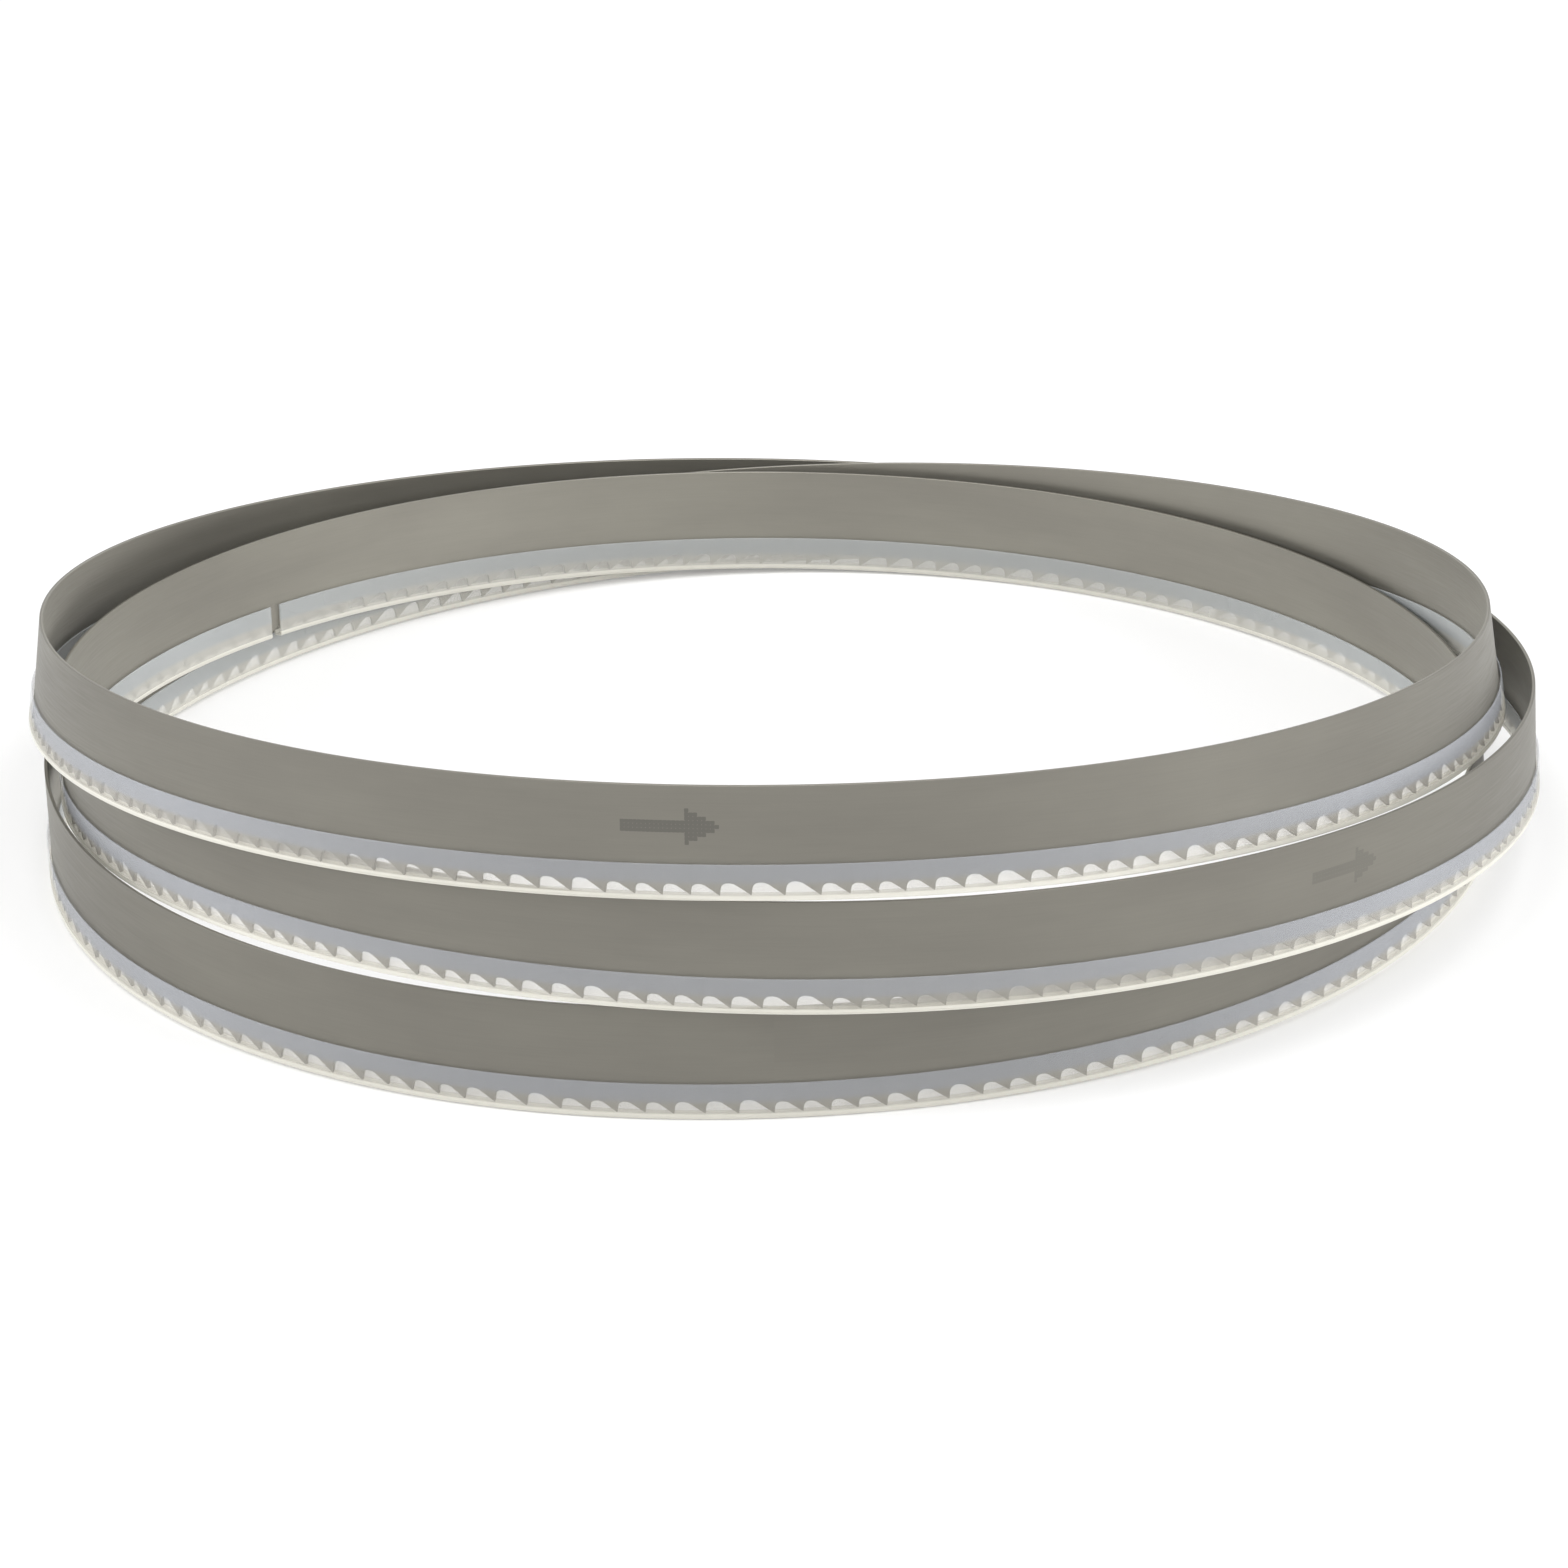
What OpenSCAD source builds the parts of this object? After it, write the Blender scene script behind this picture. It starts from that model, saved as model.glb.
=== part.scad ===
// Band saw blade in its storage coil: one endless toothed band folded into three loops,
// with a clear plastic guard pushed over its teeth. Lengths are in millimetres. The coil lies on
// its toothed edge on the plane z = 0, and the middle of its outline is over the origin.

/* [Blade] */
// Width of the band, from its back edge to the tips of its teeth
band_w = 27; // [20:1:41]
// Thickness of the band
band_t = 0.9; // [0.6:0.05:1.3]
// Length of one set of teeth, after which their uneven spacing repeats
set_pitch = 50.8; // [40:0.1:64]
// Depth of the deepest gullet
gullet_depth = 3.4; // [2:0.1:4.8]
// How far the tooth tips are bent out of the band, to one side and the other in turn
tooth_set = 0.2; // [0:0.05:0.3]

/* [Guard] */
// Height of the guard, from its underside to the tops of its walls
guard_h = 9; // [7:0.5:14]
// Thickness of the guard's walls
guard_wall = 0.45; // [0.4:0.05:0.8]
// Thickness of the guard's floor
guard_floor = 0.6; // [0.4:0.05:1.2]
// Room between the bent tooth tips and the guard's walls
side_gap = 0.25; // [0.2:0.05:0.5]
// Room between the tooth tips and the guard's floor
tip_gap = 0.6; // [0.3:0.1:2]
// Width of the slit where the two ends of the guard meet
slit_w = 2; // [1:0.5:8]

/* [Coil] */
// Mean radius of the coil
coil_r = 186; // [150:1:260]
// Room between a loop's back edge and the guard of the loop that stands on it
stack_gap = 0.3; // [0.3:0.1:1]
// Room between two guards that lie side by side
nest_gap = 0.4; // [0.4:0.1:1]

/* [Hidden] */

// One row for each eighth of a turn, from the front of the coil and then to the right: how far
// the band is pulled out from the mean radius, in guards that lie side by side, how high it is
// pulled, in loops that stand on each other, and how far its back edge leans out, in degrees.
// The band runs through the three loops in this order and then joins its own start.
LOW_FRONT_TO_LOW_BACK = [
    [-3.7, 0, -1], [-4.5, 0.02, -4], [-0.3, 0.1, -6], [1.3, 0, -1],
    [-0.6, 0, 6], [-4.5, 0.3, 6], [-1, 0.56, 3], [1.3, 1.12, 0]
];
MIDDLE_FRONT_TO_OUTER_BACK = [
    [0.8, 1.15, -1], [1.6, 0.98, -2], [3.4, 0.53, -3], [4.2, 0.01, -3],
    [2.9, 0, -5], [1.1, 0.39, -7], [0.6, 1.23, -7], [2.1, 1.95, -3]
];
TOP_FRONT_TO_MIDDLE_BACK = [
    [1.6, 2.3, -2], [-1, 1.93, -6], [-0.8, 1.26, -10], [2.6, 0.38, -4],
    [0.6, 0, 5], [-3.7, 0, 10], [0, 0, 3], [3.1, 0, -1]
];
PULLS = concat(LOW_FRONT_TO_LOW_BACK, MIDDLE_FRONT_TO_OUTER_BACK, TOP_FRONT_TO_MIDDLE_BACK);
PULLS_PER_TURN = 8;
PULL_COUNT = len(PULLS);

// Gaps between one tooth tip and the next within a set, as parts of a whole, and the way each
// tooth is bent: out, in, and every seventh straight
GAPS = [0.136, 0.13, 0.131, 0.135, 0.146, 0.156, 0.166];
BENDS = [1, -1, 1, -1, 1, -1, 0];
TEETH_PER_SET = len(GAPS);
// A tooth's outline from its tip over its upright face and the gullet: the share of the gap
// along the band, the share of the gullet's depth, and the share of the bend
TOOTH_OUTLINE = [[0, 0, 1], [0.03, 0.62, 0.35], [0.13, 0.97, 0], [0.34, 0.94, 0]];
OUTLINE_POINTS = len(TOOTH_OUTLINE);
// Teeth that share one stretch of the back edge
TEETH_PER_STRETCH = 2;
STRETCH_POINTS = TEETH_PER_STRETCH * OUTLINE_POINTS;
// Outline point of a stretch under which its back edge changes hands, from the stretch's start
// to its end
HAND_OVER = 5;
POINTS_BEFORE_OUTLINE = 2;
RING_POINTS = POINTS_BEFORE_OUTLINE + 2 * STRETCH_POINTS;

// Turn, counted in pulls, at which the guard's ends meet, and the guard's number of stretches
SLIT_AT = 5.15;
GUARD_STRETCHES = 192;
// Steps in which the band's length is measured
MEASURED_STEPS = 480;

slot_half = band_t / 2 + tooth_set + side_gap;
guard_half = slot_half + guard_wall;
tip_height = guard_floor + tip_gap;
loop_h = tip_height + band_w;
stack_step = loop_h + stack_gap;
nest_step = 2 * guard_half + nest_gap;

function unit(v) = v / norm(v);

// A smooth run through the pulls, which never leaves their range: u counts pulls from the front
function pull(i, k) = PULLS[(i + PULL_COUNT) % PULL_COUNT][k];
function pulled(u, k) =
    let (i = floor(u), f = u - i)
    ((1 - f) ^ 3 * pull(i - 1, k) + (3 * f ^ 3 - 6 * f ^ 2 + 4) * pull(i, k)
        + (-3 * f ^ 3 + 3 * f ^ 2 + 3 * f + 1) * pull(i + 1, k) + f ^ 3 * pull(i + 2, k)) / 6;

// The middle line of a loop, halfway between the guard's underside and the band's back edge
function middle(u) =
    let (r = coil_r + nest_step * pulled(u, 0), a = 360 * u / PULLS_PER_TURN)
    [r * sin(a), -r * cos(a), stack_step * pulled(u, 1) + loop_h / 2];

// Where the band is at u, which way its back edge points and which way its outer face looks
function stand(u) =
    let (
        along = unit(middle(u + 0.02) - middle(u - 0.02)),
        out = unit([along.y, -along.x, 0]),
        lean = pulled(u, 2),
        leant = [0, 0, cos(lean)] + sin(lean) * out,
        up = unit(leant - (leant * along) * along)
    )
    [middle(u), up, cross(along, up)];

// A point of the section: h up from the guard's underside, n out from the band's middle plane
function spot(s, h, n) = s[0] + (h - loop_h / 2) * s[1] + n * s[2];

// Length along the band against u, and the other way round
LENGTHS = [
    for (
        i = 0, run = 0;
        i <= MEASURED_STEPS;
        i = i + 1,
        run = run + norm(middle(i * PULL_COUNT / MEASURED_STEPS) - middle((i - 1) * PULL_COUNT / MEASURED_STEPS))
    ) [run, i * PULL_COUNT / MEASURED_STEPS]
];
band_length = LENGTHS[MEASURED_STEPS][0];
function turn_at(run) = lookup(run, LENGTHS);
function run_at(u) = lookup(u, [for (pair = LENGTHS) [pair[1], pair[0]]]);

// Whole stretches of teeth go round, so the set closes up by less than a hundredth
sets = TEETH_PER_STRETCH * round(band_length / set_pitch / TEETH_PER_STRETCH);
teeth = sets * TEETH_PER_SET;
stretches = teeth / TEETH_PER_STRETCH;
whole_set = band_length / sets;
longest_gap = max(GAPS);
GAP_STARTS = [for (i = 0, s = 0; i <= TEETH_PER_SET; s = s + (i < TEETH_PER_SET ? GAPS[i] : 0), i = i + 1) s];

function tooth_run(tooth) =
    whole_set * (floor(tooth / TEETH_PER_SET) + GAP_STARTS[tooth % TEETH_PER_SET] / GAP_STARTS[TEETH_PER_SET]);

// The inner and the outer point of the band's section at one point of a tooth's outline
function outline_pair(tooth, point) =
    let (
        gap = GAPS[tooth % TEETH_PER_SET],
        s = stand(turn_at(tooth_run(tooth) + point[0] * whole_set * gap / GAP_STARTS[TEETH_PER_SET])),
        h = tip_height + point[1] * gullet_depth * gap / longest_gap,
        bend = point[2] * BENDS[tooth % TEETH_PER_SET] * tooth_set
    )
    [spot(s, h, bend - band_t / 2), spot(s, h, bend + band_t / 2)];

// All points of one stretch: its back edge, then its teeth, inner and outer in turn
function stretch_points(j) =
    let (s = stand(turn_at(tooth_run(j * TEETH_PER_STRETCH))))
    concat(
        [spot(s, loop_h, -band_t / 2), spot(s, loop_h, band_t / 2)],
        [
            for (t = [0 : TEETH_PER_STRETCH - 1], point = TOOTH_OUTLINE)
                each outline_pair(j * TEETH_PER_STRETCH + t, point)
        ]
    );

BAND_POINTS = [for (j = [0 : stretches - 1]) each stretch_points(j)];

// Numbers of a stretch's back edge and outline points; side is 0 inside and 1 outside
function back(j, side) = (j % stretches) * RING_POINTS + side;
function tooth_point(j, i, side) =
    i < STRETCH_POINTS
        ? (j % stretches) * RING_POINTS + POINTS_BEFORE_OUTLINE + 2 * i + side
        : tooth_point(j + 1, 0, side);

// Triangles of one face of a stretch, as seen on its outer side
function face_triangles(j, side) = concat(
    [for (i = [0 : HAND_OVER - 1]) [back(j, side), tooth_point(j, i + 1, side), tooth_point(j, i, side)]],
    [[back(j, side), back(j + 1, side), tooth_point(j, HAND_OVER, side)]],
    [
        for (i = [HAND_OVER : STRETCH_POINTS - 1])
            [back(j + 1, side), tooth_point(j, i + 1, side), tooth_point(j, i, side)]
    ]
);
function turned(triangles) = [for (t = triangles) [t[2], t[1], t[0]]];
function split(a, b, c, d) = [[a, b, c], [a, c, d]];

BAND_FACES = [
    for (j = [0 : stretches - 1])
        each concat(
            face_triangles(j, 1),
            turned(face_triangles(j, 0)),
            split(back(j + 1, 1), back(j, 1), back(j, 0), back(j + 1, 0)),
            [
                for (i = [0 : STRETCH_POINTS - 1])
                    each split(
                        tooth_point(j, i, 1), tooth_point(j, i + 1, 1),
                        tooth_point(j, i + 1, 0), tooth_point(j, i, 0)
                    )
            ]
        )
];

// The guard's section, a channel that is open at its top: out from the middle plane, and up
CHANNEL = [
    [-guard_half, 0], [guard_half, 0], [guard_half, guard_h], [slot_half, guard_h],
    [slot_half, guard_floor], [-slot_half, guard_floor], [-slot_half, guard_h], [-guard_half, guard_h]
];
CHANNEL_POINTS = len(CHANNEL);
guard_start = run_at(SLIT_AT) + slit_w / 2;
guard_length = band_length - slit_w;
guard_step = guard_length / GUARD_STRETCHES;
// Straight stretches cut the corner of the coil: half of that is given back at their ends
corner_rise = guard_step ^ 2 / (16 * coil_r);

function around(run) = run > band_length ? run - band_length : run;

GUARD_POINTS = [
    for (i = [0 : GUARD_STRETCHES])
        let (s = stand(turn_at(around(guard_start + i * guard_step))))
            for (p = CHANNEL) spot(s, p[1], p[0] + corner_rise)
];
function guard_point(i, k) = i * CHANNEL_POINTS + k % CHANNEL_POINTS;
// The two end faces of the channel are three four-sided fields each
CHANNEL_FIELDS = [[0, 1, 4, 5], [1, 2, 3, 4], [0, 5, 6, 7]];
function end_triangles(i) = [
    for (f = CHANNEL_FIELDS)
        each split(guard_point(i, f[0]), guard_point(i, f[1]), guard_point(i, f[2]), guard_point(i, f[3]))
];

GUARD_FACES = concat(
    [
        for (i = [0 : GUARD_STRETCHES - 1], k = [0 : CHANNEL_POINTS - 1])
            each split(
                guard_point(i, k), guard_point(i, k + 1),
                guard_point(i + 1, k + 1), guard_point(i + 1, k)
            )
    ],
    turned(end_triangles(0)),
    end_triangles(GUARD_STRETCHES)
);

// The coil's outline, to stand it on the plane with its middle over the origin
function low(k) = min([for (p = GUARD_POINTS) p[k]]);
function high(k) = max([for (p = GUARD_POINTS) p[k]]);
HOME = [-(low(0) + high(0)) / 2, -(low(1) + high(1)) / 2, -low(2)];

module blade_band() {
    color([0.46, 0.45, 0.42])
        translate(HOME)
            polyhedron(points = BAND_POINTS, faces = BAND_FACES);
}

module tooth_guard() {
    color([0.78, 0.81, 0.83, 0.6])
        translate(HOME)
            polyhedron(points = GUARD_POINTS, faces = GUARD_FACES);
}

blade_band();
tooth_guard();
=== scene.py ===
"""Looks of a band saw blade in its storage coil.

One endless toothed steel band is folded into three loops, and a clear plastic guard is pushed over
its teeth. Both follow one closed path. The pieces are made flat, a short length repeated along a
straight line, and Geometry Nodes then lay them along the path. Lengths in the classes are in
millimetres, and a mesh is in metres.
"""
import logging
import math
from bisect import bisect_right
from dataclasses import dataclass, field
from enum import Enum
from functools import cached_property

import bmesh
import bpy
from mathutils import Euler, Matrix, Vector


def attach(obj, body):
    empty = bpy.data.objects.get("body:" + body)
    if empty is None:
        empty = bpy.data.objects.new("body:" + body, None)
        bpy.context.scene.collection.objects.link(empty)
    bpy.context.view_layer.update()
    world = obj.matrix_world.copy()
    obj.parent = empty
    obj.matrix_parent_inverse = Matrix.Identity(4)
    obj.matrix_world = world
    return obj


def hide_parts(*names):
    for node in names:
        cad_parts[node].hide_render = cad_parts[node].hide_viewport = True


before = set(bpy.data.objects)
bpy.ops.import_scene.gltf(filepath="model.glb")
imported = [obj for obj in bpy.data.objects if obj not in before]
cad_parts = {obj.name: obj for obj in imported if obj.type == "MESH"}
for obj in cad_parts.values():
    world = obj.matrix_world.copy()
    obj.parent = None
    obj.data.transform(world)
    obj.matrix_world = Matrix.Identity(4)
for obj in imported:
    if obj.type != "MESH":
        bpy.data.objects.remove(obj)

MM = 0.001
LOG = logging.getLogger("coiled_blade")
BODY = "root"
PHOTO_PIXELS = 1568
FLAT_PLACE = "flat_place"

Row = tuple[float, float, float]


class Slot(Enum):
    """Material slots of the part's record."""

    STEEL = "blade_steel"
    PLASTIC = "guard_plastic"


class Node(Enum):
    """Solids that the dressed pieces stand for."""

    BAND = "blade_band"
    GUARD = "tooth_guard"


@dataclass(frozen=True)
class Stock:
    """Sizes of the band, its guard and the coil, as in the part's source."""

    band_w: float = 27.0
    band_t: float = 0.9
    set_pitch: float = 50.8
    gullet_depth: float = 3.4
    tooth_set: float = 0.2
    guard_h: float = 9.0
    guard_wall: float = 0.45
    guard_floor: float = 0.6
    side_gap: float = 0.25
    tip_gap: float = 0.6
    slit_w: float = 2.0
    coil_r: float = 186.0
    stack_gap: float = 0.3
    nest_gap: float = 0.4

    @property
    def slot_half(self) -> float:
        """Half the width of the guard's slot."""
        return self.band_t / 2 + self.tooth_set + self.side_gap

    @property
    def guard_half(self) -> float:
        """Half the width of the guard."""
        return self.slot_half + self.guard_wall

    @property
    def tip_height(self) -> float:
        """Height of the tooth tips over the guard's underside."""
        return self.guard_floor + self.tip_gap

    @property
    def loop_h(self) -> float:
        """Height of one loop, from the guard's underside to the band's back edge."""
        return self.tip_height + self.band_w

    @property
    def stack_step(self) -> float:
        """Height from one loop to the loop that stands on it."""
        return self.loop_h + self.stack_gap

    @property
    def nest_step(self) -> float:
        """Distance between two loops that lie side by side."""
        return 2 * self.guard_half + self.nest_gap


@dataclass(frozen=True)
class Stand:
    """Where the band is at one place of its path, and how it stands there."""

    middle: Vector
    up: Vector
    out: Vector


@dataclass
class CoilPath:
    """The closed path of the band, three times round the coil.

    Each row of the pulls holds for an eighth of a turn: how far the band is pulled out, in guards
    that lie side by side, how high, in loops that stand on each other, and how far its back edge
    leans out, in degrees. At the front the lifts differ from the source's by up to 0.025 of a loop, so
    that the loops lie as in the photograph.
    """

    stock: Stock = field(default_factory=Stock)
    low_loop: tuple[Row, ...] = (
        (-3.7, 0, -1), (-4.5, 0.02, -4), (-0.3, 0.1, -6), (1.3, 0, -1),
        (-0.6, 0, 6), (-4.5, 0.3, 6), (-1, 0.56, 3), (1.3, 1.135, 0),
    )
    middle_loop: tuple[Row, ...] = (
        (0.8, 1.17, -1), (1.6, 1.0, -2), (3.4, 0.54, -3), (4.2, 0.01, -3),
        (2.9, 0, -5), (1.1, 0.39, -7), (0.6, 1.23, -7), (2.1, 1.95, -3),
    )
    top_loop: tuple[Row, ...] = (
        (1.6, 2.285, -2), (-1, 1.92, -6), (-0.8, 1.26, -10), (2.6, 0.38, -4),
        (0.6, 0, 5), (-3.7, 0.01, 10), (0, 0.025, 3), (3.1, 0.02, -1),
    )
    pulls_per_turn: int = 8
    steps: int = 2880
    slope_step: float = 0.02
    slit_at: float = 5.15
    guard_stretches: int = 192

    @cached_property
    def pulls(self) -> tuple[Row, ...]:
        """The rows of all three loops, in the order in which the band runs through them."""
        return self.low_loop + self.middle_loop + self.top_loop

    def pulled(self, turn: float, column: int) -> float:
        """Smooth run through one column of the pulls.

        Args:
            turn: place on the path, counted in pulls from the front of the low loop.
            column: 0 for out, 1 for lift, 2 for lean.

        Returns:
            The cubic B-spline's value there.
        """
        i = math.floor(turn)
        f = turn - i
        a, b, c, d = (self.pulls[(i + k) % len(self.pulls)][column] for k in (-1, 0, 1, 2))
        return (
            (1 - f) ** 3 * a + (3 * f**3 - 6 * f**2 + 4) * b
            + (-3 * f**3 + 3 * f**2 + 3 * f + 1) * c + f**3 * d
        ) / 6

    def middle(self, turn: float) -> Vector:
        """Point of the path at a turn, halfway up the loop, before the coil is centred."""
        radius = self.stock.coil_r + self.stock.nest_step * self.pulled(turn, 0)
        angle = math.tau * turn / self.pulls_per_turn
        height = self.stock.stack_step * self.pulled(turn, 1) + self.stock.loop_h / 2
        return Vector((radius * math.sin(angle), -radius * math.cos(angle), height))

    def stand(self, turn: float) -> Stand:
        """How the band stands at a turn.

        Args:
            turn: place on the path, counted in pulls.

        Returns:
            The middle point, the way the back edge points and the way the outer face looks.
        """
        step = self.slope_step
        along = (self.middle(turn + step) - self.middle(turn - step)).normalized()
        out = Vector((along.y, -along.x, 0)).normalized()
        lean = math.radians(self.pulled(turn, 2))
        leant = Vector((0, 0, math.cos(lean))) + math.sin(lean) * out
        up = (leant - leant.dot(along) * along).normalized()
        return Stand(self.middle(turn), up, along.cross(up))

    @cached_property
    def runs(self) -> list[float]:
        """Length along the band at each step of the path."""
        points = [self.middle(i * len(self.pulls) / self.steps) for i in range(self.steps + 1)]
        runs = [0.0]
        for near, far in zip(points, points[1:]):
            runs.append(runs[-1] + (far - near).length)
        return runs

    @property
    def length(self) -> float:
        """Length of the endless band."""
        return self.runs[-1]

    def turn_at(self, run: float) -> float:
        """The turn, counted in pulls, that lies a run along the band."""
        run = run % self.length
        i = min(bisect_right(self.runs, run), self.steps) - 1
        share = (run - self.runs[i]) / (self.runs[i + 1] - self.runs[i])
        return (i + share) * len(self.pulls) / self.steps

    def run_at(self, turn: float) -> float:
        """The run along the band that belongs to a turn, counted in pulls."""
        step = turn * self.steps / len(self.pulls)
        i = min(int(step), self.steps - 1)
        return self.runs[i] + (step - i) * (self.runs[i + 1] - self.runs[i])

    @property
    def guard_start(self) -> float:
        """Run at which the guard begins, just past its slit."""
        return self.run_at(self.slit_at) + self.stock.slit_w / 2

    @property
    def guard_length(self) -> float:
        """Length of the guard's strip."""
        return self.length - self.stock.slit_w

    @cached_property
    def home(self) -> Vector:
        """Shift that centres the guard's outline and sets it on the plane, as in the source."""
        step = self.guard_length / self.guard_stretches
        rise = step**2 / (16 * self.stock.coil_r)
        half = self.stock.guard_half
        corners = []
        for i in range(self.guard_stretches + 1):
            s = self.stand(self.turn_at(self.guard_start + i * step))
            for side in (-half, half):
                for height in (0, self.stock.guard_h):
                    corners.append(s.middle + (height - self.stock.loop_h / 2) * s.up + (side + rise) * s.out)
        low = [min(c[k] for c in corners) for k in range(3)]
        high = [max(c[k] for c in corners) for k in range(3)]
        return Vector((-(low[0] + high[0]) / 2, -(low[1] + high[1]) / 2, -low[2]))

    def guide(self) -> bpy.types.Object:
        """Makes the path as a line of edges that carries the band's up and out at each point."""
        count = self.steps + 1
        stands = [self.stand(i * len(self.pulls) / self.steps) for i in range(count)]
        mesh = bpy.data.meshes.new("band_path")
        places = [(s.middle + self.home) * MM for s in stands]
        mesh.from_pydata(places, [(i, i + 1) for i in range(count - 1)], [])
        for name, pick in (("up", lambda s: s.up), ("out", lambda s: s.out)):
            layer = mesh.attributes.new(name, "FLOAT_VECTOR", "POINT")
            layer.data.foreach_set("vector", [x for s in stands for x in pick(s)])
        return bpy.data.objects.new("band_path", mesh)


@dataclass(frozen=True)
class Section:
    """One cross-section of a flat piece: points as height from the loop's middle, and out."""

    run: float
    points: tuple[tuple[float, float], ...]


def lofted(name: str, sections: list[Section]) -> bpy.types.Mesh:
    """Joins cross-sections into an open-ended flat length.

    Args:
        name: name of the mesh.
        sections: cross-sections in order, each with the same number of points.

    Returns:
        A mesh in metres with its length along X, its width along Y and its height along Z.
    """
    mesh = bpy.data.meshes.new(name)
    count = len(sections[0].points)
    places = [(s.run * MM, n * MM, h * MM) for s in sections for h, n in s.points]
    faces = []
    for i in range(len(sections) - 1):
        near, far = i * count, (i + 1) * count
        for k in range(count):
            n = (k + 1) % count
            faces.append((near + k, near + n, far + n, far + k))
    mesh.from_pydata(places, [], faces)
    return mesh


class Nodes:
    """Short way to add and join the nodes of a tree."""

    def __init__(self, tree: bpy.types.NodeTree) -> None:
        """Keeps the tree and empties it."""
        self.tree = tree
        tree.nodes.clear()

    def add(self, kind: str, inputs: dict | None = None, **settings: object) -> bpy.types.Node:
        """Adds one node.

        Args:
            kind: Blender's name of the node's type.
            inputs: socket name or number to a value, or to the output that feeds it.
            settings: the node's own properties.

        Returns:
            The new node.
        """
        node = self.tree.nodes.new(kind)
        for name, value in settings.items():
            setattr(node, name, value)
        for key, value in (inputs or {}).items():
            socket = node.inputs[key]
            if isinstance(value, bpy.types.NodeSocket):
                self.tree.links.new(value, socket)
            else:
                socket.default_value = value
        return node

    def math(self, operation: str, *values: object) -> bpy.types.NodeSocket:
        """Adds a Math node and returns its output."""
        return self.add("ShaderNodeMath", dict(enumerate(values)), operation=operation).outputs[0]

    def vector(self, operation: str, *values: object) -> bpy.types.NodeSocket:
        """Adds a Vector Math node and returns its vector output."""
        return self.add("ShaderNodeVectorMath", dict(enumerate(values)), operation=operation).outputs[0]


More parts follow.
